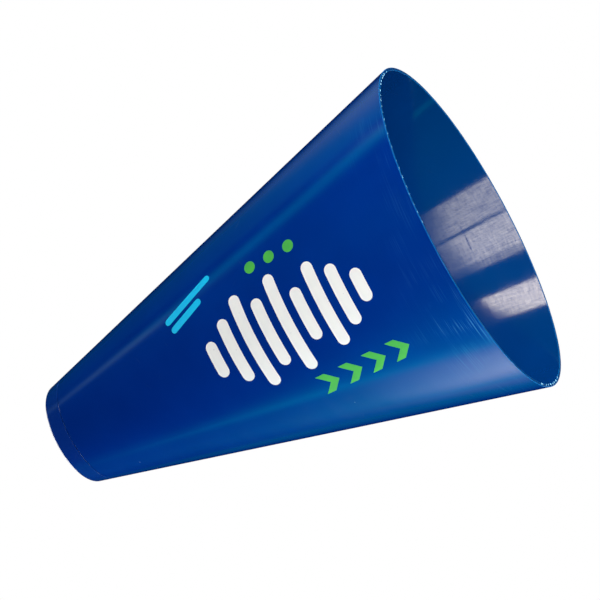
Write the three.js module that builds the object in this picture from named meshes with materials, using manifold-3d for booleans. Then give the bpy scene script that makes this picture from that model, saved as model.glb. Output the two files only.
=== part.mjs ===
// Cheer megaphone: a moulded plastic cone, a push-in mouthpiece, and the ink films printed on its front.
// Units are millimetres. It stands on its bell rim: the origin is the centre of the rim, +Z runs up the
// cone's axis to the mouth, and the print faces -Y.
import * as THREE from "three";
import { mergeVertices } from "three/addons/utils/BufferGeometryUtils.js";
import Module from "manifold-3d";

const wasm = await Module();
wasm.setup();

// ---------- driving dimensions ----------
const LENGTH = 229; // bell rim to the end of the lip, a 9 inch megaphone
const BELL_RADIUS = 83.5;
const MOUTH_RADIUS = 26.3; // where the cone's outer line meets the plane of the lip
const WALL = 1.6;
const COLLAR_LENGTH = 9.4; // the part of the mouthpiece that shows
const JOINT_GAP = 0.3; // the groove between cone and collar
const SPIGOT_LENGTH = 14; // the part of the mouthpiece inside the cone
const SPIGOT_WALL = 1.2;
const SPIGOT_CLEARANCE = 0.1;
const RING_SEGMENTS = 144;
const LIP_STEPS = 6; // facets in the half-round of the lip

// ---------- print ----------
const INK_GAP = 0.05;
const INK_THICKNESS = 0.1;
const INK_MARGIN = 5; // bare plastic left at both ends of the cone
const END_STEPS = 8; // facets in the half-round end of a bar
const BEND_STEP = 2; // the longest straight stretch of a bar's side
const BAR = { width: 6.2, pitch: 10.5, firstFromLip: 105, reach: [9, 16, 23.5, 17, 24.5, 13, 21, 15, 8] };
const CHEVRON = { arm: 5, point: 5.5, reach: 5.5, pitch: 13.2, firstFromLip: 144, round: -34.5, count: 4 };
const DOT = { radius: 3, pitch: 11.5, firstFromLip: 140, round: 32, count: 3 };
const STRIPE = { width: 3.6, tilt: THREE.MathUtils.degToRad(22) };
const STRIPES = [
  { length: 33, fromLip: 101, round: 33.4 },
  { length: 22, fromLip: 98.2, round: 26 },
];

// ---------- materials ----------
const plastic = new THREE.MeshStandardMaterial({ color: 0x063a9c, roughness: 0.28, metalness: 0 });
const whiteInk = new THREE.MeshStandardMaterial({ color: 0xf2f3f1, roughness: 0.5, metalness: 0 });
const greenInk = new THREE.MeshStandardMaterial({ color: 0x4fb748, roughness: 0.5, metalness: 0 });
const cyanInk = new THREE.MeshStandardMaterial({ color: 0x10b4e6, roughness: 0.5, metalness: 0 });

// ---------- the cone's own lines ----------
const SLOPE = (BELL_RADIUS - MOUTH_RADIUS) / LENGTH;
const LEVEL_WALL = WALL * Math.hypot(1, SLOPE); // the wall measured level, across its slope
const outerRadius = (z) => BELL_RADIUS - SLOPE * z;
const innerRadius = (z) => outerRadius(z) - LEVEL_WALL;
const point = (radius, z) => new THREE.Vector2(radius, z);

// A ring turned about Z from its outline: [radius, height] points in anticlockwise order.
function turned(outline) {
  const ring = new THREE.LatheGeometry([...outline, outline[0].clone()], RING_SEGMENTS);
  return ring.rotateX(Math.PI / 2);
}

function part(name, geometry, material) {
  const mesh = new THREE.Mesh(geometry, material);
  mesh.name = name;
  return mesh;
}

// ---------- cone ----------
const coneTop = LENGTH - COLLAR_LENGTH;

function coneShell() {
  return turned([
    point(outerRadius(0), 0),
    point(outerRadius(coneTop), coneTop),
    point(innerRadius(coneTop), coneTop),
    point(innerRadius(0), 0),
  ]);
}

// ---------- mouthpiece ----------
// A collar that carries on the cone's outer line to a full-round lip, on a spigot that pushes into the cone.
function mouthpiece() {
  const shoulder = coneTop + JOINT_GAP;
  const spigotFoot = shoulder - SPIGOT_LENGTH;
  const spigotOuter = (z) => innerRadius(z) - SPIGOT_CLEARANCE;
  const bore = (z) => spigotOuter(z) - SPIGOT_WALL;
  const lipRadius = (outerRadius(LENGTH) - bore(LENGTH)) / 2;
  const lipCentre = { radius: (outerRadius(LENGTH) + bore(LENGTH)) / 2, z: LENGTH - lipRadius };
  const lip = [];
  for (let i = 0; i <= LIP_STEPS; i++) {
    const turn = (Math.PI * i) / LIP_STEPS;
    lip.push(point(lipCentre.radius + lipRadius * Math.cos(turn), lipCentre.z + lipRadius * Math.sin(turn)));
  }
  return turned([
    point(spigotOuter(spigotFoot), spigotFoot),
    point(spigotOuter(shoulder), shoulder),
    point(outerRadius(shoulder), shoulder),
    ...lip,
    point(bore(spigotFoot), spigotFoot),
  ]);
}

// ---------- print ----------
function toSolid(geometry) {
  const bare = geometry.clone();
  bare.deleteAttribute("normal");
  bare.deleteAttribute("uv");
  const merged = mergeVertices(bare, 1e-4);
  const mesh = { numProp: 3, vertProperties: merged.attributes.position.array, triVerts: merged.index.array };
  return new wasm.Manifold(new wasm.Mesh(mesh));
}

function toGeometry(solid) {
  const mesh = solid.getMesh();
  return new THREE.BufferGeometry()
    .setAttribute("position", new THREE.BufferAttribute(mesh.vertProperties, 3))
    .setIndex(new THREE.BufferAttribute(mesh.triVerts, 1));
}

// The thin skin of ink that a print is cut from, standing just clear of the cone.
function inkSkin() {
  const foot = INK_MARGIN;
  const top = coneTop - INK_MARGIN;
  const inside = (z) => outerRadius(z) + INK_GAP;
  const outside = (z) => inside(z) + INK_THICKNESS;
  return toSolid(
    turned([
      point(inside(foot), foot),
      point(outside(foot), foot),
      point(outside(top), top),
      point(inside(top), top),
    ]),
  );
}
const skin = inkSkin();

// A print outline's points are (distance down from the lip, distance round the cone). Seen from the front,
// each falls at x, z, and the outline is cut straight back through the skin.
function film(shape, curveSteps = 12) {
  const onFront = shape.getPoints(curveSteps).map(({ x: fromLip, y: round }) => {
    const radius = outerRadius(LENGTH - fromLip);
    return new THREE.Vector2(radius * Math.sin(round / radius), LENGTH - fromLip);
  });
  const cutter = new THREE.ExtrudeGeometry(new THREE.Shape(onFront), {
    depth: BELL_RADIUS + 1,
    bevelEnabled: false,
    steps: 1,
  });
  cutter.rotateX(Math.PI / 2);
  return toGeometry(skin.intersect(toSolid(cutter)));
}

// A bar with round ends, lying along a direction given by its turn from the cone's axis.
function roundedBar(length, width, fromLip, round, turn) {
  const radius = width / 2;
  const half = length / 2 - radius;
  const sideSteps = Math.ceil((2 * half) / BEND_STEP);
  const outline = [];
  for (const way of [1, -1]) {
    for (let i = 0; i <= sideSteps; i++) {
      outline.push(point(way * half * ((2 * i) / sideSteps - 1), -way * radius));
    }
    for (let i = 1; i < END_STEPS; i++) {
      const swing = Math.PI * (i / END_STEPS - 0.5);
      outline.push(point(way * (half + radius * Math.cos(swing)), way * radius * Math.sin(swing)));
    }
  }
  const centre = new THREE.Vector2();
  const place = new THREE.Vector2(fromLip, round);
  return new THREE.Shape(outline.map((corner) => corner.rotateAround(centre, turn).add(place)));
}

function chevron(fromLip) {
  const { arm, point: tip, reach, round } = CHEVRON;
  return new THREE.Shape([
    new THREE.Vector2(fromLip, round - reach),
    new THREE.Vector2(fromLip + arm, round - reach),
    new THREE.Vector2(fromLip + arm + tip, round),
    new THREE.Vector2(fromLip + arm, round + reach),
    new THREE.Vector2(fromLip, round + reach),
    new THREE.Vector2(fromLip + tip, round),
  ]);
}

function dot(fromLip) {
  return new THREE.Shape().absarc(fromLip, DOT.round, DOT.radius, 0, 2 * Math.PI, false);
}

function printFilms() {
  const films = new THREE.Group();
  BAR.reach.forEach((reach, i) => {
    const shape = roundedBar(2 * reach, BAR.width, BAR.firstFromLip + i * BAR.pitch, 0, Math.PI / 2);
    films.add(part(`print_white_bar_${i + 1}`, film(shape), whiteInk));
  });
  for (let i = 0; i < CHEVRON.count; i++) {
    const shape = chevron(CHEVRON.firstFromLip + i * CHEVRON.pitch);
    films.add(part(`print_green_chevron_${i + 1}`, film(shape), greenInk));
  }
  for (let i = 0; i < DOT.count; i++) {
    films.add(part(`print_green_dot_${i + 1}`, film(dot(DOT.firstFromLip + i * DOT.pitch)), greenInk));
  }
  STRIPES.forEach(({ length, fromLip, round }, i) => {
    const shape = roundedBar(length, STRIPE.width, fromLip, round, STRIPE.tilt);
    films.add(part(`print_cyan_stripe_${i + 1}`, film(shape), cyanInk));
  });
  return films;
}

// ---------- assembly ----------
const megaphone = new THREE.Group();
megaphone.add(part("cone_shell", coneShell(), plastic));
megaphone.add(part("mouthpiece", mouthpiece(), plastic));
megaphone.add(printFilms());

export default megaphone;
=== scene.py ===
import math

import bpy
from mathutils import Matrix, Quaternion, Vector, noise


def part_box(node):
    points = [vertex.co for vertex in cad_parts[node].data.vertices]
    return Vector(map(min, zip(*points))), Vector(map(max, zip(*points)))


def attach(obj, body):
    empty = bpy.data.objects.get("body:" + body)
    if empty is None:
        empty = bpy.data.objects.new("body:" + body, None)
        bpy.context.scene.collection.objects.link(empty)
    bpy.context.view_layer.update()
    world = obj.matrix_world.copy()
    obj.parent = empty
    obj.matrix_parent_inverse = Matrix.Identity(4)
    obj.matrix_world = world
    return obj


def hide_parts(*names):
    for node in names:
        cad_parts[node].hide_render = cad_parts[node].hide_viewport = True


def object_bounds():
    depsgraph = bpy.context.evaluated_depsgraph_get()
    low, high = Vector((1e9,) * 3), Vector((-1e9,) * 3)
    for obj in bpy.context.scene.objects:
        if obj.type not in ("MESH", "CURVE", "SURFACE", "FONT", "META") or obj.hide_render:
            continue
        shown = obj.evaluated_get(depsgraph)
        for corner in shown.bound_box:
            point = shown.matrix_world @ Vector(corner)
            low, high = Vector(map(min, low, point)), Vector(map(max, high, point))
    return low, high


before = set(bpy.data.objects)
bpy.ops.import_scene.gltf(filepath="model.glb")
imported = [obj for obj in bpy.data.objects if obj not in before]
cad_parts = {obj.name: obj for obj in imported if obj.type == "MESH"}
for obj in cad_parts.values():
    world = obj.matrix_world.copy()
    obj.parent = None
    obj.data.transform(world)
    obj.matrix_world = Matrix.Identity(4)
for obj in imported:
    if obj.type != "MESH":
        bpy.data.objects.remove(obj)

CAD_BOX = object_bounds()
MM = 0.001
BODY = "root"
LEVEL_TOLERANCE = 0.01 * MM  # corners this close in height are at one height


# ---------- measures, read from the frame ----------


def radii_at(node, height):
    """Smallest and largest distance from the axis among a turned node's corners at one height."""
    corners = [vertex.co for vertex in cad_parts[node].data.vertices]
    found = [corner.xy.length for corner in corners if abs(corner.z - height) < LEVEL_TOLERANCE]
    return min(found), max(found)


def heights_of(node):
    """The heights at which a turned node has corners, lowest first."""
    return sorted({round(v.co.z, 5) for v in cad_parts[node].data.vertices})


RIM_INNER, RIM_OUTER = radii_at("cone_shell", 0)
CONE_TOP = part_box("cone_shell")[1].z
TOP_INNER, TOP_OUTER = radii_at("cone_shell", CONE_TOP)
LENGTH = CAD_BOX[1].z
SLOPE = (RIM_OUTER - TOP_OUTER) / CONE_TOP
SPIGOT_FOOT, SHOULDER = heights_of("mouthpiece")[:2]
BORE_FOOT, SPIGOT_FOOT_OUTER = radii_at("mouthpiece", SPIGOT_FOOT)
SPIGOT_TOP_OUTER, COLLAR_OUTER = radii_at("mouthpiece", SHOULDER)


def cone_radius(height):
    """The true cone's outer radius at a height."""
    return RIM_OUTER - SLOPE * height


# ---------- node trees ----------


class Graph:
    """A node tree, with one short call for each node."""

    def __init__(self, tree):
        self.tree = tree
        tree.nodes.clear()

    def node(self, kind, inputs=None, **settings):
        made = self.tree.nodes.new(kind)
        for name, value in settings.items():
            setattr(made, name, value)
        for name, value in (inputs or {}).items():
            self.put(made.inputs[name], value)
        return made

    def put(self, socket, value):
        if isinstance(value, bpy.types.NodeSocket):
            self.tree.links.new(value, socket)
        else:
            socket.default_value = value

    def math(self, operation, *values):
        return self.node("ShaderNodeMath", dict(enumerate(values)), operation=operation).outputs[0]

    def add(self, a, b):
        return self.math("ADD", a, b)

    def times(self, a, b):
        return self.math("MULTIPLY", a, b)

    def step(self, value, low, high, low_out=0.0, high_out=1.0):
        """Rises smoothly from low_out to high_out as value goes from low to high."""
        inputs = {"Value": value, "From Min": low, "From Max": high, "To Min": low_out, "To Max": high_out}
        return self.node("ShaderNodeMapRange", inputs, interpolation_type="SMOOTHSTEP").outputs[0]

    def hump(self, value, centre, width):
        """A bell curve: 1 at the centre, 0.37 at a width from it."""
        off = self.times(self.add(value, -centre), 1 / width)
        return self.math("EXPONENT", self.times(self.times(off, off), -1.0))

    def vector(self, x, y, z):
        return self.node("ShaderNodeCombineXYZ", {"X": x, "Y": y, "Z": z}).outputs[0]

    def sum(self, *values):
        total = values[0]
        for value in values[1:]:
            total = self.add(total, value)
        return total

    def noise(self, vector, scale=1.0, detail=2.0):
        inputs = {"Vector": vector, "Scale": scale, "Detail": detail}
        return self.node("ShaderNodeTexNoise", inputs).outputs["Fac"]

    def mix(self, factor, a, b):
        mixed = self.node("ShaderNodeMix", data_type="RGBA")
        self.put(mixed.inputs[0], factor)
        self.put(mixed.inputs[6], a)
        self.put(mixed.inputs[7], b)
        return mixed.outputs[2]


def colour(red, green, blue):
    return (red, green, blue, 1.0)


def new_material(name):
    material = bpy.data.materials.new(name)
    material.use_nodes = True
    return material, Graph(material.node_tree)


# ---------- plastic ----------

PLASTIC_DEEP = colour(0.0, 0.0205, 0.225)
PLASTIC_LIGHT = colour(0.0, 0.0240, 0.247)
# The inside's two shades are darker and greener than the outside's: painted shade, and a painted teal
# reflection of the room.
PLASTIC_SHADED_DEEP = colour(0.0, 0.0240, 0.127)
PLASTIC_SHADED_LIGHT = colour(0.0, 0.0270, 0.141)
# The cut rim's two shades are darker than the wall's: painted shade on the cut face.
PLASTIC_CUT_DEEP = colour(0.0, 0.020, 0.090)
PLASTIC_CUT_LIGHT = colour(0.0, 0.036, 0.140)
# A lighter blue for the rim's rounded edges: a painted highlight of the edges catching the light.
PLASTIC_EDGE_HIGHLIGHT = colour(0.0, 0.095, 0.30)
PLASTIC_WORN = colour(0.22, 0.50, 0.74)
PLASTIC_TORN = colour(0.30, 0.66, 0.88)
PLASTIC_SCUFFED = colour(0.06, 0.26, 0.60)
PLASTIC_DUST = colour(0.45, 0.55, 0.65)
PLASTIC_IOR = 1.49
COOL_SHINE = colour(0.80, 0.94, 1.0)
WARM_SHINE = colour(1.0, 0.95, 0.88)

# Grains of noise in the plastic, as (scale of the direction round the cone, cells a metre along it). A small
# first number draws rings, and a large one draws lines along the cone.
RINGS = (1.4, 1500.0)
BANDS = (2.5, 160.0)
STREAKS = (130.0, 90.0)
TORN_EDGE = (120.0, 900.0)
FINE_ROUND_LINES = (18.0, 1500.0)
FINE_LONG_LINES = (170.0, 160.0)
SCUFF_LINES = (3.8, 2300.0)
SCUFF_PATCHES = (5.0, 50.0)

SCRATCH_GRAIN = (60.0, 12.0, 2600.0)  # cells a metre: long along X and Y, and fine along Z
SCRATCH_LEANS = ((0.5, 0.80, 0.83), (-0.9, 0.81, 0.84))  # (radians, noise at a mark's edge, noise in it)
SCUFFED_AT = -29.0  # degrees round from the front
SCRAPES = ((3.6 * MM, -28.0, 5.0), (1.5 * MM, -31.0, 4.0))  # (height, middle and reach in degrees)
SCRAPE_WIDTH = 0.20 * MM
LONG_SCRATCH_HEIGHT = 23.6 * MM
LONG_SCRATCH_WIDTH = 0.22 * MM
LONG_SCRATCH_LEAN = 3 * MM
PLASTIC_CLOUDS = 28.0  # cells a metre
PLASTIC_SPECKS = (150.0, 0.03, 0.045)  # (cells a metre, share of them with a speck, its size in cells)
MARK_HEIGHT = 3e-6  # metres
SPECK_HEIGHT = 15e-6


def round_the_cone(graph):
    """Object position, and (direction's X, direction's Y, height) for patterns that run round seamlessly."""
    place = graph.node("ShaderNodeTexCoord").outputs["Object"]
    split = graph.node("ShaderNodeSeparateXYZ", {0: place}).outputs
    flat = graph.vector(split["X"], split["Y"], 0.0)
    outward = graph.node("ShaderNodeVectorMath", {0: flat}, operation="NORMALIZE").outputs[0]
    direction = graph.node("ShaderNodeSeparateXYZ", {0: outward}).outputs
    return place, (direction["X"], direction["Y"], split["Z"])


def stretched_noise(graph, cone, grain, detail=2.0):
    """Noise whose grain is set apart round the cone and along it."""
    east, north, height = cone
    across, along = grain
    where = graph.vector(graph.times(east, across), graph.times(north, across), graph.times(height, along))
    return graph.noise(where, detail=detail)


def scratches(graph, place, lean, low, high):
    """Thin straight marks that all lean one way, 1 on a mark and 0 off it."""
    turned = graph.node("ShaderNodeVectorRotate", {"Vector": place, "Angle": lean}, rotation_type="Y_AXIS")
    grain = graph.node("ShaderNodeVectorMath", {0: turned.outputs[0], 1: SCRATCH_GRAIN}, operation="MULTIPLY")
    return graph.step(graph.noise(grain.outputs[0], detail=1.0), low, high)


def dust(graph, place, scale, share, size):
    """Specks: 1 on a speck. A share of the cells that fill space hold one each."""
    cells = graph.node("ShaderNodeTexVoronoi", {"Vector": place, "Scale": scale})
    chosen = graph.node("ShaderNodeSeparateColor", {0: cells.outputs["Color"]}).outputs[0]
    near = graph.step(cells.outputs["Distance"], size * 0.6, size, 1.0, 0.0)
    return graph.times(near, graph.math("LESS_THAN", chosen, share))


def scuffs(graph, cone):
    """Fine lines rubbed round the bell, in patches that die out away from its rim: 1 on a line, 0 off it."""
    east, north, height = cone
    lines = stretched_noise(graph, cone, SCUFF_LINES, detail=1.0)
    patches = stretched_noise(graph, cone, SCUFF_PATCHES)
    bearing = graph.math("DEGREES", graph.math("ARCTAN2", east, graph.times(north, -1.0)))
    share = graph.add(graph.times(graph.hump(bearing, SCUFFED_AT, 10.0), 0.85), 0.15)
    share = graph.times(share, graph.step(height, 3 * MM, 40 * MM, 1.0, 0.0))
    share = graph.times(share, graph.step(patches, 0.36, 0.64))
    rubbed = graph.times(graph.step(lines, 0.50, 0.74), share)
    for scrape_height, middle, reach in SCRAPES:
        across = graph.hump(height, scrape_height, SCRAPE_WIDTH)
        rubbed = graph.math("MAXIMUM", rubbed, graph.times(across, graph.hump(bearing, middle, reach)))
    return rubbed


def long_scratch(graph, cone):
    """The one long scratch inside the bell, round its back."""
    east, north, height = cone
    lean = graph.add(height, graph.times(east, LONG_SCRATCH_LEAN))
    across = graph.hump(lean, LONG_SCRATCH_HEIGHT, LONG_SCRATCH_WIDTH)
    ends = graph.times(graph.step(east, -0.15, -0.12), graph.step(east, 0.02, 0.05, 1.0, 0.0))
    return graph.times(graph.times(across, ends), graph.math("GREATER_THAN", north, 0.0))


def plastic(
    name,
    pigments,
    tint,
    roughness,
    ring_depth,
    streak_depth,
    wear=0.0,
    scuffed=False,
    grain=0.0,
    level=0.5,
):
    """Moulded royal blue plastic, its pigment clouded between two shades. tint colours its shine, and level
    is how strong the shine is: 0.5 is what the plastic's IOR gives. ring_depth and streak_depth are the
    heights, in metres, of the fine lines round the cone and along it. wear is how far a cut edge has
    whitened, and scuffed adds the rubbed lines by the bell. grain is how much fine lines break up the
    shine, and brings the long scratch with it."""
    material, graph = new_material(name)
    place, cone = round_the_cone(graph)
    height = cone[2]
    rings = stretched_noise(graph, cone, RINGS, detail=3.0)
    bands = stretched_noise(graph, cone, BANDS)
    streaks = stretched_noise(graph, cone, STREAKS)
    cloud = graph.noise(place, PLASTIC_CLOUDS, 3.0)
    marks = graph.math("MAXIMUM", *(scratches(graph, place, *lean) for lean in SCRATCH_LEANS))
    specks = dust(graph, place, *PLASTIC_SPECKS)

    pigment = graph.mix(graph.step(cloud, 0.3, 0.7), *pigments)
    pigment = graph.mix(graph.times(marks, 0.05), pigment, PLASTIC_DUST)
    pigment = graph.mix(graph.times(specks, 0.45), pigment, PLASTIC_DUST)
    if wear:
        ragged = graph.step(stretched_noise(graph, cone, TORN_EDGE), 0.35, 0.75)
        pigment = graph.mix(graph.times(ragged, wear), pigment, PLASTIC_WORN)
    if scuffed:
        pigment = graph.mix(graph.times(scuffs(graph, cone), 0.6), pigment, PLASTIC_SCUFFED)
    strength = level
    if grain:
        round_lines = stretched_noise(graph, cone, FINE_ROUND_LINES)
        long_lines = stretched_noise(graph, cone, FINE_LONG_LINES)
        lines = graph.add(graph.add(round_lines, long_lines), -1.0)
        scratched = graph.times(long_scratch(graph, cone), 0.45)
        strength = graph.math("SUBTRACT", graph.add(graph.times(lines, grain), level), scratched)
        # Seen in its own reflection the wall is matt, so that no lamp shows twice.
        mirrored = graph.node("ShaderNodeLightPath").outputs["Is Glossy Ray"]
        strength = graph.times(strength, graph.math("SUBTRACT", 1.0, mirrored))

    shine = graph.add(roughness, graph.times(graph.add(bands, -0.5), 0.10))
    shine = graph.add(shine, graph.times(graph.add(cloud, -0.5), 0.06))
    shine = graph.add(shine, graph.times(specks, 0.3))
    near_rim = graph.step(height, 0.0, 30 * MM, 1.0, 0.25)
    relief = graph.sum(
        graph.times(graph.times(rings, near_rim), ring_depth),
        graph.times(streaks, streak_depth),
        graph.times(marks, MARK_HEIGHT),
        graph.times(specks, SPECK_HEIGHT),
    )
    bump = graph.node("ShaderNodeBump", {"Height": relief, "Distance": 1.0, "Strength": 1.0})
    surface = graph.node(
        "ShaderNodeBsdfPrincipled",
        {
            "Base Color": pigment,
            "Roughness": shine,
            "IOR": PLASTIC_IOR,
            "Specular IOR Level": strength,
            "Specular Tint": tint,
            "Normal": bump.outputs[0],
        },
    )
    graph.node("ShaderNodeOutputMaterial", {"Surface": surface.outputs[0]})
    return material


FACING = (PLASTIC_DEEP, PLASTIC_LIGHT)
SHADED = (PLASTIC_SHADED_DEEP, PLASTIC_SHADED_LIGHT)
SAWN = (PLASTIC_CUT_DEEP, PLASTIC_CUT_LIGHT)
EDGE_HIGHLIGHT = (PLASTIC_EDGE_HIGHLIGHT, PLASTIC_EDGE_HIGHLIGHT)
TORN = (PLASTIC_TORN, PLASTIC_TORN)
OUTSIDE = plastic("blue_plastic_outside", FACING, COOL_SHINE, 0.12, 6e-6, 0.6e-6, scuffed=True)
INSIDE = plastic("blue_plastic_inside", SHADED, WARM_SHINE, 0.10, 9e-6, 4.0e-6, grain=0.65)
CUT = plastic("blue_plastic_cut_rim", SAWN, COOL_SHINE, 0.45, 9e-6, 6e-6, wear=0.03, level=0.2)
# The rim's rounded edges carry a painted highlight in their colour, in place of most of their shine.
EDGE = plastic("blue_plastic_rim_edge", EDGE_HIGHLIGHT, COOL_SHINE, 0.45, 5e-6, 3e-6, wear=0.03, level=0.12)
BURR = plastic("blue_plastic_rim_burr", TORN, COOL_SHINE, 0.42, 9e-6, 6e-6, wear=0.3)
LIP = plastic("blue_plastic_mouthpiece", FACING, COOL_SHINE, 0.14, 3e-6, 0.6e-6, wear=0.02)


# ---------- ink ----------

INK_PEBBLES = 2600.0  # cells a metre
INK_CLOUDS = 160.0
INK_PINHOLES = (420.0, 0.06, 0.10)  # (cells a metre, share of them with a pinhole, its size in cells)
PEBBLE_HEIGHT = 3e-6  # metres


def ink(name, tone, thin_tone):
    """Screen-print ink: satin, faintly pebbled, and a little thin in places."""
    material, graph = new_material(name)
    place = graph.node("ShaderNodeTexCoord").outputs["Object"]
    pebble = graph.times(graph.noise(place, INK_PEBBLES, 2.0), PEBBLE_HEIGHT)
    cloud = graph.noise(place, INK_CLOUDS, 3.0)
    pinholes = dust(graph, place, *INK_PINHOLES)
    tinted = graph.mix(graph.step(cloud, 0.35, 0.75), tone, thin_tone)
    tinted = graph.mix(graph.times(pinholes, 0.5), tinted, PLASTIC_LIGHT)
    shine = graph.step(cloud, 0.3, 0.7, 0.40, 0.50)
    bump = graph.node("ShaderNodeBump", {"Height": pebble, "Distance": 1.0, "Strength": 1.0})
    surface = graph.node(
        "ShaderNodeBsdfPrincipled",
        {"Base Color": tinted, "Roughness": shine, "IOR": PLASTIC_IOR, "Normal": bump.outputs[0]},
    )
    graph.node("ShaderNodeOutputMaterial", {"Surface": surface.outputs[0]})
    return material


WHITE = ink("white_ink", colour(0.93, 0.94, 0.94), colour(0.89, 0.91, 0.92))
GREEN = ink("green_ink", colour(0.075, 0.47, 0.060), colour(0.06, 0.41, 0.065))
CYAN = ink("cyan_ink", colour(0.003, 0.56, 0.95), colour(0.003, 0.50, 0.90))


# ---------- meshes ----------


def mesh_piece(name, corners, faces, materials, face_slots, node):
    """A piece of the object, from corners and faces, that rides on the body and stands for a CAD node."""
    mesh = bpy.data.meshes.new(name)
    mesh.from_pydata(corners, [], faces)
    for material in materials:
        mesh.materials.append(material)
    mesh.polygons.foreach_set("material_index", face_slots)
    mesh.polygons.foreach_set("use_smooth", [True] * len(faces))
    mesh.update()
    piece = bpy.data.objects.new(name, mesh)
    bpy.context.scene.collection.objects.link(piece)
    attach(piece, BODY)
    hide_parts(node)
    return piece


WANDER = 0.06 * MM


def moulded(angle, height):
    """How far, in metres, the moulded wall wanders from the true cone: long, shallow waves."""
    where = Vector((1.3 * math.sin(angle), -1.3 * math.cos(angle), height * 9))
    return WANDER * (noise.noise(where) - 0.6)


def on_wall(radius, height, angle):
    radius += moulded(angle, height)
    return (radius * math.sin(angle), -radius * math.cos(angle), height)


GAP_GROWTH = 1.9
SMALLEST_GAP = 0.1 * MM


def spread(start, end, longest, shortest):
    """Shares from 0 to 1 along a straight edge, close together at its ends and far apart in its middle."""
    length = (end - start).length
    gaps = []
    gap = shortest
    while sum(gaps) < length / 2:
        gaps.append(gap)
        gap = min(gap * GAP_GROWTH, longest)
    gaps = gaps + gaps[::-1]
    total = sum(gaps)
    shares = [0.0]
    for gap in gaps:
        shares.append(shares[-1] + gap / total)
    return shares[1:-1]


def half_angle(before, corner, after):
    """Half of the angle at a corner between the edges to its two neighbours."""
    return (before - corner).normalized().angle((after - corner).normalized()) / 2


def rounded_outline(corners, steps=4, longest=9 * MM):
    """A closed outline in (radius, height) with its corners rounded. corners are (point, rounding, slot of
    the rounding, slot of the edge that runs on to the next corner)."""
    outline = []
    count = len(corners)
    for i, (corner, rounding, bend_slot, edge_slot) in enumerate(corners):
        before = corners[i - 1][0]
        after, next_rounding = corners[(i + 1) % count][:2]
        beyond = corners[(i + 2) % count][0]
        to_before = (before - corner).normalized()
        to_after = (after - corner).normalized()
        half = half_angle(before, corner, after)
        reach = rounding / math.tan(half)
        centre = corner + (to_before + to_after).normalized() * (rounding / math.sin(half))
        start = corner + to_before * reach - centre
        end = corner + to_after * reach - centre
        turn = start.angle(end)
        for step in range(steps + 1):
            share = step / steps
            spoke = (math.sin((1 - share) * turn) * start + math.sin(share * turn) * end) / math.sin(turn)
            outline.append((centre + spoke, bend_slot if step < steps else edge_slot))
        edge_start = corner + to_after * reach
        edge_end = after - to_after * (next_rounding / math.tan(half_angle(corner, after, beyond)))
        for share in spread(edge_start, edge_end, longest, max(rounding, SMALLEST_GAP)):
            outline.append((edge_start.lerp(edge_end, share), edge_slot))
    return outline


def ring_piece(name, outline, segments, materials, node, shape=None, marked=None):
    """Turns a closed outline about Z. shape(point, angle) may move each point a little, and
    marked(slot, point, angle) may change the material slot of a face that begins at a point."""
    corners = []
    for i in range(segments):
        angle = 2 * math.pi * i / segments
        for point, _ in outline:
            radius, height = shape(point, angle) if shape else point
            corners.append(on_wall(radius, height, angle))
    count = len(outline)
    faces = []
    face_slots = []
    for i in range(segments):
        here = i * count
        there = (i + 1) % segments * count
        middle = 2 * math.pi * (i + 0.5) / segments
        for j, (_, face_slot) in enumerate(outline):
            k = (j + 1) % count
            faces.append((here + j, there + j, there + k, here + k))
            face_slots.append(marked(face_slot, outline[j][0], middle) if marked else face_slot)
    return mesh_piece(name, corners, faces, materials, face_slots, node)


# ---------- cone ----------

RIM_SEGMENTS = 1200
RIM_ROUNDING = 0.22 * MM
TOP_ROUNDING = 0.10 * MM
NOTCH_PITCH = 4.8 * MM
NOTCHED = ((49, 86, 1.0), (2, 58, 0.6), (-100, -68, 0.8))  # (from and to in degrees, depth) of the teeth
RAGGED_HEIGHT = 1.2 * MM  # the rim's unevenness dies out this far up the wall
TOOTH_WIDTH = 0.6 * MM  # and the teeth this far out from its inner edge
RIM_WANDER = 0.12 * MM
TOOTH_RISE = 0.25 * MM
TOOTH_PUSH = 0.12 * MM


def tooth(angle):
    """0 to 1: how far the trimming marks rise at an angle, in the stretches that have them."""
    degrees = math.degrees(math.atan2(math.sin(angle), math.cos(angle)))
    depth = 0.0
    for low, high, deepest in NOTCHED:
        middle, half = (low + high) / 2, (high - low) / 2
        depth = max(depth, deepest * min(1.0, 3 * (1 - abs(degrees - middle) / half)))
    if depth <= 0:
        return 0.0
    phase = angle * RIM_OUTER / NOTCH_PITCH + 0.8 * noise.noise(Vector((angle * 9, 3.1, 0)))
    bite = max(0.0, math.sin(2 * math.pi * phase)) ** 2
    return depth * bite * (0.75 + 0.25 * noise.noise(Vector((angle * 40, 0.7, 0))))


def ragged_rim(point, angle):
    """The cut rim: its plane wanders a little, and its inner edge carries the trimming marks."""
    radius, height = point
    closeness = max(0.0, 1 - height / RAGGED_HEIGHT)
    if closeness == 0.0:
        return radius, height
    where = Vector((math.sin(angle), -math.cos(angle), 0.4))
    wander = 0.5 + noise.noise(where * 3) * 0.35 + noise.noise(where * 30) * 0.25
    inner = max(0.0, 1 - (radius - RIM_INNER) / TOOTH_WIDTH)
    rise = RIM_WANDER * wander + TOOTH_RISE * tooth(angle) * inner
    return radius - TOOTH_PUSH * tooth(angle) * inner * closeness, height + rise * closeness


OUTSIDE_SLOT, INSIDE_SLOT, CUT_SLOT, EDGE_SLOT, BURR_SLOT = range(5)
BURR_WIDTH = 0.5 * MM
WHITENED_TOOTH = 0.30


def burred(slot, point, angle):
    """The teeth along the inner side of the cut have whitened."""
    near_edge = point[0] < RIM_INNER + BURR_WIDTH and point[1] < RIM_ROUNDING
    return BURR_SLOT if near_edge and tooth(angle) > WHITENED_TOOTH else slot


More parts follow.
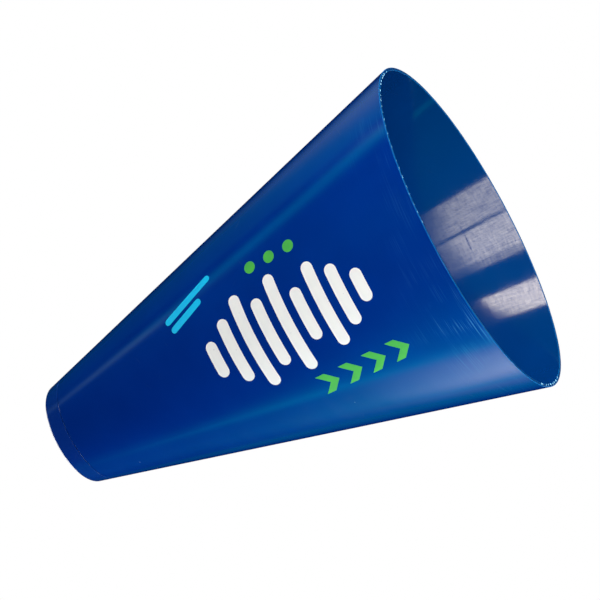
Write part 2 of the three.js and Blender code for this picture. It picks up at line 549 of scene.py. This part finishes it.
cone_outline = rounded_outline(
    [
        (Vector((RIM_OUTER, 0)), RIM_ROUNDING, EDGE_SLOT, OUTSIDE_SLOT),
        (Vector((TOP_OUTER, CONE_TOP)), TOP_ROUNDING, OUTSIDE_SLOT, OUTSIDE_SLOT),
        (Vector((TOP_INNER, CONE_TOP)), TOP_ROUNDING, INSIDE_SLOT, INSIDE_SLOT),
        (Vector((RIM_INNER, 0)), RIM_ROUNDING, EDGE_SLOT, CUT_SLOT),
    ]
)
ring_piece(
    "cone_body",
    cone_outline,
    RIM_SEGMENTS,
    [OUTSIDE, INSIDE, CUT, EDGE, BURR],
    "cone_shell",
    ragged_rim,
    burred,
)


# ---------- mouthpiece ----------

MOUTH_SEGMENTS = 480
COLLAR_ROUNDING = 0.12 * MM
SHOULDER_ROUNDING = 0.05 * MM
LIP_OUTER = COLLAR_OUTER - SLOPE * (LENGTH - SHOULDER)
LIP_INNER = BORE_FOOT - SLOPE * (LENGTH - SPIGOT_FOOT)
LIP_ROUNDING = 0.46 * (LIP_OUTER - LIP_INNER)

mouth_outline = rounded_outline(
    [
        (Vector((SPIGOT_FOOT_OUTER, SPIGOT_FOOT)), TOP_ROUNDING, 0, 0),
        (Vector((SPIGOT_TOP_OUTER, SHOULDER)), SHOULDER_ROUNDING, 0, 0),
        (Vector((COLLAR_OUTER, SHOULDER)), COLLAR_ROUNDING, 0, 0),
        (Vector((LIP_OUTER, LENGTH)), LIP_ROUNDING, 0, 0),
        (Vector((LIP_INNER, LENGTH)), LIP_ROUNDING, 0, 0),
        (Vector((BORE_FOOT, SPIGOT_FOOT)), TOP_ROUNDING, 0, 0),
    ],
    steps=6,
    longest=4 * MM,
)
ring_piece("mouthpiece_lip", mouth_outline, MOUTH_SEGMENTS, [LIP], "mouthpiece")


# ---------- print ----------

INK_FOOT = 0.01 * MM
INK_TOP = 0.05 * MM
INK_STEP = 0.6 * MM
ACROSS_STEPS = 6
END_SWINGS = (88, 80, 70, 60, 50, 40, 30, 20, 10)  # degrees round a half-round end: its tip is at 90
CHEVRON_ARM = 5.0 / 10.5  # the arm's thickness, as a share of the chevron's length
CHEVRON_STEPS = 10  # rows from the chevron's point to the end of an arm
FILM_SHARP_ANGLE = math.radians(40)


def flat_corners(node):
    """A print node's corners on the unrolled cone: (distance from the lip, distance round from the front)."""
    found = []
    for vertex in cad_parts[node].data.vertices:
        angle = math.atan2(vertex.co.x, -vertex.co.y)
        found.append(Vector((LENGTH - vertex.co.z, angle * cone_radius(vertex.co.z))))
    return found


def bar_measures(node):
    """A round-ended bar's centre, direction, length and width."""
    corners = flat_corners(node)
    pairs = ((a, b) for a in corners for b in corners)
    first, last = max(pairs, key=lambda pair: (pair[0] - pair[1]).length)
    middle = (first + last) / 2
    direction = (last - first).normalized()
    across = Vector((-direction.y, direction.x))
    width = 2 * max(abs((corner - middle).dot(across)) for corner in corners)
    return middle, direction, (last - first).length, width


def film(node, material, rows, place):
    """A thin film of ink. rows are (along, low, high) stations, and place(along, across) gives a point of the
    unrolled cone, as (from the lip, round). The faces point out if across lies clockwise from along there."""
    corners = []
    for lift in (INK_FOOT, INK_TOP):
        for along, low, high in rows:
            for step in range(ACROSS_STEPS + 1):
                from_lip, around = place(along, low + (high - low) * step / ACROSS_STEPS)
                height = LENGTH - from_lip
                radius = cone_radius(height)
                corners.append(on_wall(radius + lift, height, around / radius))
    wide = ACROSS_STEPS + 1
    layer = wide * len(rows)
    faces = []
    for i in range(len(rows) - 1):
        for j in range(ACROSS_STEPS):
            a = i * wide + j
            quad = (a, a + 1, a + wide + 1, a + wide)
            faces.append(quad[::-1])
            faces.append(tuple(corner + layer for corner in quad))
    edge = [i * wide for i in range(len(rows))]
    edge += [layer - wide + j for j in range(1, wide)]
    edge += [i * wide + wide - 1 for i in reversed(range(len(rows) - 1))]
    edge += list(reversed(range(1, wide - 1)))
    for here, there in zip(edge, edge[1:] + edge[:1]):
        faces.append((here + layer, there + layer, there, here))
    name = f"ink_{node.removeprefix('print_')}"
    piece = mesh_piece(name, corners, faces, [material], [0] * len(faces), node)
    piece.data.set_sharp_from_angle(angle=FILM_SHARP_ANGLE)


def bar_film(node, material):
    """A bar, dot or stripe with half-round ends."""
    middle, direction, length, width = bar_measures(node)
    radius = width / 2
    straight = max(length / 2 - radius, 0.0)
    across = Vector((-direction.y, direction.x))
    swings = [math.radians(angle) for angle in END_SWINGS]
    ends = [(straight + radius * math.sin(swing), radius * math.cos(swing)) for swing in swings]
    count = max(2, math.ceil(2 * straight / INK_STEP))
    middles = [(straight * (2 * i / count - 1), radius) for i in range(count + 1)]
    rows = [(-along, -half, half) for along, half in ends]
    rows += [(along, -half, half) for along, half in middles]
    rows += [(along, -half, half) for along, half in reversed(ends)]
    film(node, material, rows, lambda along, over: middle + direction * along - across * over)


def chevron_film(node, material):
    """A chevron, drawn in rows from the end of one arm to the end of the other."""
    corners = flat_corners(node)
    low_lip = min(corner.x for corner in corners)
    length = max(corner.x for corner in corners) - low_lip
    low_round = min(corner.y for corner in corners)
    high_round = max(corner.y for corner in corners)
    arm = length * CHEVRON_ARM
    centre = (low_round + high_round) / 2
    reach = (high_round - low_round) / 2
    rows = []
    for i in range(-CHEVRON_STEPS, CHEVRON_STEPS + 1):
        share = i / CHEVRON_STEPS
        lean = (length - arm) * (1 - abs(share))
        rows.append((centre + reach * share, low_lip + lean, low_lip + lean + arm))
    film(node, material, rows, lambda around, from_lip: Vector((from_lip, around)))


for node in sorted(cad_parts):
    if node.startswith("print_white"):
        bar_film(node, WHITE)
    elif node.startswith("print_cyan"):
        bar_film(node, CYAN)
    elif node.startswith("print_green_dot"):
        bar_film(node, GREEN)
    elif node.startswith("print_green_chevron"):
        chevron_film(node, GREEN)


# ---------- floor and background ----------


def direction_to(azimuth, elevation):
    """A direction from the object: azimuth 0 is the front (-Y), 90 is +X, in degrees."""
    turn, rise = math.radians(azimuth), math.radians(elevation)
    return Vector((math.sin(turn) * math.cos(rise), -math.cos(turn) * math.cos(rise), math.sin(rise)))


FLOOR_DROP = 0.3 * MM
FLOOR_SEGMENTS = 180
FLOOR_RINGS = (RIM_OUTER - 0.8 * MM, RIM_OUTER + 40 * MM, 3.0)  # radii
FLOOR_FADE = (0.12, 0.44)  # metres from the middle
FLOOR_DARK = colour(0.82, 0.82, 0.82)
FLOOR_LIGHT = colour(0.86, 0.86, 0.86)
FLOOR_MIRRORED = colour(0.16, 0.44, 0.50)


def floor_mesh():
    """A flat disc, open inside the rim."""
    corners = []
    for radius in FLOOR_RINGS:
        for i in range(FLOOR_SEGMENTS):
            corners.append(tuple(direction_to(360 * i / FLOOR_SEGMENTS, 0) * radius))
    faces = []
    for ring in range(len(FLOOR_RINGS) - 1):
        inner = ring * FLOOR_SEGMENTS
        outer = inner + FLOOR_SEGMENTS
        for i in range(FLOOR_SEGMENTS):
            j = (i + 1) % FLOOR_SEGMENTS
            faces.append((inner + i, outer + i, outer + j, inner + j))
    mesh = bpy.data.meshes.new("floor")
    mesh.from_pydata(corners, [], faces)
    return mesh


def floor_material():
    """Pale, seen only from above, and faded into the background. The plastic mirrors it dimly."""
    material, graph = new_material("pale_floor")
    place = graph.node("ShaderNodeTexCoord").outputs["Object"]
    far = graph.node("ShaderNodeVectorMath", {0: place}, operation="LENGTH").outputs["Value"]
    tone = graph.mix(graph.noise(place, 900.0, 2.0), FLOOR_DARK, FLOOR_LIGHT)
    to_camera = graph.node("ShaderNodeLightPath").outputs["Is Camera Ray"]
    tone = graph.mix(to_camera, FLOOR_MIRRORED, tone)
    surface = graph.node("ShaderNodeBsdfPrincipled", {"Base Color": tone, "Roughness": 0.7})
    clear = graph.node("ShaderNodeBsdfTransparent")
    faded = graph.times(graph.step(far, *FLOOR_FADE), to_camera)
    front = graph.math("SUBTRACT", 1.0, graph.node("ShaderNodeNewGeometry").outputs["Backfacing"])
    solid = graph.times(graph.math("SUBTRACT", 1.0, faded), front)
    mixed = graph.node("ShaderNodeMixShader", {0: solid, 1: clear.outputs[0], 2: surface.outputs[0]})
    graph.node("ShaderNodeOutputMaterial", {"Surface": mixed.outputs[0]})
    return material


def floor():
    mesh = floor_mesh()
    mesh.materials.append(floor_material())
    plane = bpy.data.objects.new("floor", mesh)
    plane.location.z = -FLOOR_DROP
    bpy.context.scene.collection.objects.link(plane)
    plane.visible_diffuse = False
    plane.visible_shadow = False


# The parts of the room. Each is a strength of light at an azimuth and elevation in degrees, where azimuth 0
# is the front (-Y) and 90 is +X.

TABLE = -104.0  # azimuth of its brightest part
TABLE_BRIGHTEST = 4.4
TABLE_EDGE = (-95.0, 36.5, 0.19)  # (azimuth, elevation there, rise a degree)
TABLE_DROPS_BEHIND = -112.0  # azimuth
TABLE_DROP = 0.0125  # degrees, times the square of how far behind
TABLE_HALVING = 2.4
GAP_LEAN = 0.81
GAP_MIDDLE = 122.8
GAP_WIDTH = 4.6
HAZE_EDGE = (114.0, 28.8, -0.28)
HAZE_HALVING = 3.0
WARM_ABOVE = 1.15  # the strength over which the table's light is white
PINK_EDGE = (-127.0, 0.5)  # (azimuth, rise a degree)


def leaning_edge(graph, azimuth, at, height, rise):
    """The elevation of a straight edge that has one height at one azimuth and rises from there."""
    return graph.add(graph.times(azimuth, rise), height - rise * at)


def light_under(graph, edge, elevation, halving):
    """1 on an edge, and halving every few degrees above it."""
    under = graph.add(edge, graph.times(elevation, -1.0))
    return graph.math("POWER", 2.0, graph.times(under, 1 / halving))


def table_glow(graph, azimuth, elevation):
    """The pale table on the -X side: brightest low down, under an edge that drops away behind the object."""
    behind = graph.math("MAXIMUM", graph.add(graph.times(azimuth, -1.0), TABLE_DROPS_BEHIND), 0.0)
    drop = graph.times(graph.times(behind, behind), -TABLE_DROP)
    edge = graph.add(leaning_edge(graph, azimuth, *TABLE_EDGE), drop)
    tail = light_under(graph, edge, elevation, TABLE_HALVING)
    near_side = graph.times(graph.hump(azimuth, TABLE, 17.0), graph.math("GREATER_THAN", azimuth, TABLE))
    far_side = graph.times(graph.hump(azimuth, TABLE, 20.0), graph.math("LESS_THAN", azimuth, TABLE))
    return graph.math("MINIMUM", tail, graph.times(graph.add(near_side, far_side), TABLE_BRIGHTEST))


def glow_beside(graph, azimuth, elevation):
    """A dimmer glow beside the table's, towards the front."""
    ends = graph.times(graph.step(azimuth, -92.0, -82.0), graph.step(azimuth, 30.0, 60.0, 1.0, 0.0))
    fading = graph.times(ends, graph.step(azimuth, -76.0, 0.0, 1.0, 0.25))
    return graph.times(fading, graph.step(elevation, 39.0, 45.0, 0.75, 0.0))


def bright_lines(graph, azimuth, elevation):
    """The thin line where the two glows meet, and a low one by the table."""
    line = graph.times(graph.hump(azimuth, -84.0, 2.6), graph.step(elevation, 43.0, 48.0, 0.34, 0.0))
    line = graph.times(line, graph.step(elevation, 30.0, 38.0))
    low_line = graph.times(graph.hump(azimuth, -97.5, 2.4), graph.step(elevation, -4.0, 1.0, 0.6, 0.0))
    return graph.add(line, low_line)


def gap_of_light(graph, azimuth, elevation):
    """A narrow gap on the +X side. It leans, and brightens towards the floor."""
    lean = graph.add(azimuth, graph.times(elevation, GAP_LEAN))
    low = graph.step(elevation, 30.0, 35.5, 0.9, 0.0)
    high = graph.step(elevation, 42.0, 49.0, 0.85, 0.0)
    return graph.times(graph.hump(lean, GAP_MIDDLE, GAP_WIDTH), graph.add(low, high))


def haze_beyond(graph, azimuth, elevation):
    """A haze beyond the gap."""
    edge = leaning_edge(graph, azimuth, *HAZE_EDGE)
    haze = graph.times(light_under(graph, edge, elevation, HAZE_HALVING), 0.5)
    ends = graph.times(graph.step(azimuth, 102.0, 113.0), graph.step(azimuth, 136.0, 160.0, 1.0, 0.0))
    return graph.times(graph.math("MINIMUM", haze, 0.6), ends)


def dim_room(graph, azimuth, elevation):
    """What is left: a little light all round, except straight behind, and a little more from the front."""
    aside = graph.math("ABSOLUTE", azimuth)
    in_front = graph.times(
        graph.step(aside, 60.0, 110.0, 0.14, 0.0),
        graph.step(elevation, 41.0, 51.0, 1.0, 0.0),
    )
    around = graph.times(
        graph.step(elevation, -2.0, 20.0, 0.10, 0.04),
        graph.step(aside, 150.0, 168.0, 1.0, 0.0),
    )
    return graph.add(around, in_front)


def warmth(graph, elevation, table, gap, haze):
    """Red light: only the strong light is white, and what is dim is blue-green."""
    gap_share = graph.add(
        graph.step(elevation, 40.0, 43.5, 0.0, 0.50),
        graph.step(elevation, 29.0, 33.0, 0.45, 0.0),
    )
    return graph.sum(
        graph.math("MAXIMUM", graph.add(table, -WARM_ABOVE), 0.0),
        graph.times(gap, gap_share),
        graph.times(haze, graph.step(elevation, 24.0, 29.0, 0.5, 0.05)),
    )


def pink_fringe(graph, azimuth, elevation):
    """Behind the object the table's glow dies away through pink."""
    at, rise = PINK_EDGE
    steep = graph.add(elevation, graph.times(graph.add(azimuth, -at), -rise))
    return graph.times(graph.hump(azimuth, -131.0, 7.0), graph.step(steep, 27.0, 31.5, 0.22, 0.0))


def green_fringe(graph, azimuth, elevation):
    """And then through green."""
    return graph.times(graph.hump(azimuth, -142.0, 10.0), graph.step(elevation, 28.0, 34.0, 0.13, 0.0))


def studio():
    """White to the camera. To everything else it is a dim room with a pale table on one side of the object, a
    narrow gap of light on the other, and a cool haze."""
    world = bpy.data.worlds.new("studio")
    world.use_nodes = True
    world.cycles_visibility.diffuse = False
    bpy.context.scene.world = world
    graph = Graph(world.node_tree)
    way = graph.node("ShaderNodeTexCoord").outputs["Generated"]
    split = graph.node("ShaderNodeSeparateXYZ", {0: way}).outputs
    azimuth = graph.math("DEGREES", graph.math("ARCTAN2", split["X"], graph.times(split["Y"], -1.0)))
    elevation = graph.math("DEGREES", graph.math("ARCSINE", split["Z"]))
    above_floor = graph.step(elevation, 11.0, 17.0)

    table, beside, gap, haze, pink, green = (
        graph.times(light(graph, azimuth, elevation), above_floor)
        for light in (table_glow, glow_beside, gap_of_light, haze_beyond, pink_fringe, green_fringe)
    )
    blue = graph.sum(
        graph.times(table, graph.step(azimuth, -121.0, -106.0, 0.83, 1.0)),
        beside,
        bright_lines(graph, azimuth, elevation),
        gap,
        haze,
        dim_room(graph, azimuth, elevation),
    )
    green = graph.add(graph.times(blue, 0.92), green)
    red = graph.add(warmth(graph, elevation, table, gap, haze), pink)
    tone = graph.node("ShaderNodeCombineColor", {"Red": red, "Green": green, "Blue": blue})
    to_camera = graph.node("ShaderNodeLightPath").outputs["Is Camera Ray"]
    seen = graph.mix(to_camera, tone.outputs[0], colour(1.0, 1.0, 1.0))
    sky = graph.node("ShaderNodeBackground", {"Color": seen})
    graph.node("ShaderNodeOutputWorld", {"Surface": sky.outputs[0]})


# ---------- lights ----------

CENTRE = Vector((0, 0, LENGTH / 2))
RIM_CENTRE = Vector()
BOX_DISTANCE = 0.72
FRONT_TINT = (1.0, 0.96, 0.90)
SIDE_TINT = (1.0, 0.93, 0.85)


def bell_wall(angle, height=15 * MM):
    """A point on the inside of the bell, at an angle in degrees from the front."""
    return direction_to(angle, 0) * (RIM_INNER - SLOPE * height) + Vector((0, 0, height))


def softbox(name, focus, azimuth, elevation, distance, wide, high, radiance, tint=(1, 1, 1), mirrored=True):
    """An evenly lit rectangular light that faces a point, its focus. wide and high are in degrees, as seen
    from there. A light that isn't mirrored only fills the shade."""
    data = bpy.data.lights.new(name, "AREA")
    data.shape = "RECTANGLE"
    data.size = 2 * distance * math.tan(math.radians(wide / 2))
    data.size_y = 2 * distance * math.tan(math.radians(high / 2))
    data.energy = math.pi * radiance * data.size * data.size_y
    data.color = tint
    light = bpy.data.objects.new(name, data)
    light.visible_glossy = mirrored
    away = direction_to(azimuth, elevation)
    light.location = focus + away * distance
    light.rotation_mode = "QUATERNION"
    light.rotation_quaternion = away.to_track_quat("Z", "Y")
    bpy.context.scene.collection.objects.link(light)


def lights():
    # The softboxes by the camera, which the bell mirrors.
    softbox("front_box", bell_wall(-172), 13.5, -18.2, BOX_DISTANCE, 21, 10.5, 9.0, FRONT_TINT)
    softbox("front_box_end", bell_wall(-166), 27.8, -18.2, BOX_DISTANCE, 6, 10.5, 5.0, FRONT_TINT)
    softbox("front_box_dim", bell_wall(173), -12.8, -18.2, BOX_DISTANCE, 22.4, 10.5, 6.4, FRONT_TINT)
    softbox("side_box", bell_wall(-148), 63.7, -14.4, BOX_DISTANCE, 19.8, 9.2, 13.8, SIDE_TINT)
    # Fill on all sides. It is strongest low down, by the bell.
    softbox("low_left_fill", RIM_CENTRE, -66, -34, 0.6, 26, 20, 19.5, mirrored=False)
    softbox("low_right_fill", RIM_CENTRE, 36, -36, 0.6, 26, 20, 8.2, mirrored=False)
    softbox("front_fill", CENTRE, -22, 2, 0.9, 20, 16, 4.8, mirrored=False)
    softbox("left_fill", CENTRE, -96, 18, 0.9, 30, 26, 5.1, mirrored=False)
    softbox("under_right_fill", RIM_CENTRE, 89, -49, 0.6, 26, 20, 22.5, mirrored=False)
    softbox("back_fill", CENTRE, 178, 6, 0.9, 40, 40, 2.4, mirrored=False)
    # Overhead, for the floor and the back.
    softbox("top_box", CENTRE, 180, 76, 1.4, 50, 30, 7.5)
    # Upright strips, which the standing cone mirrors when it is seen from above or behind.
    softbox("front_strip", CENTRE, -12, 11, 1.2, 12, 32, 2.6)
    softbox("back_strip", CENTRE, -158, -4, 1.2, 14, 16, 4.0)


# ---------- camera ----------

CAMERA_PLACE = Vector((0, -959.6, -221.9)) * MM
CAMERA_AIM = Vector((7.0, 0, 92.2)) * MM
CAMERA_ROLL = -117.85  # degrees from upright
CAMERA_LENS = 126.2  # mm
CAMERA_SENSOR = 36  # mm
CAMERA_CLIP_START = 0.01


def camera():
    data = bpy.data.cameras.new("camera")
    data.lens = CAMERA_LENS
    data.sensor_width = CAMERA_SENSOR
    data.clip_start = CAMERA_CLIP_START
    obj = bpy.data.objects.new("camera", data)
    obj.location = CAMERA_PLACE
    obj.rotation_mode = "QUATERNION"
    away = CAMERA_PLACE - CAMERA_AIM
    obj.rotation_quaternion = away.to_track_quat("Z", "Y") @ Quaternion((0, 0, 1), math.radians(CAMERA_ROLL))
    bpy.context.scene.collection.objects.link(obj)
    bpy.context.scene.camera = obj


floor()
studio()
lights()
camera()
bpy.context.scene.view_settings.view_transform = "Standard"
bpy.context.scene.view_settings.look = "None"
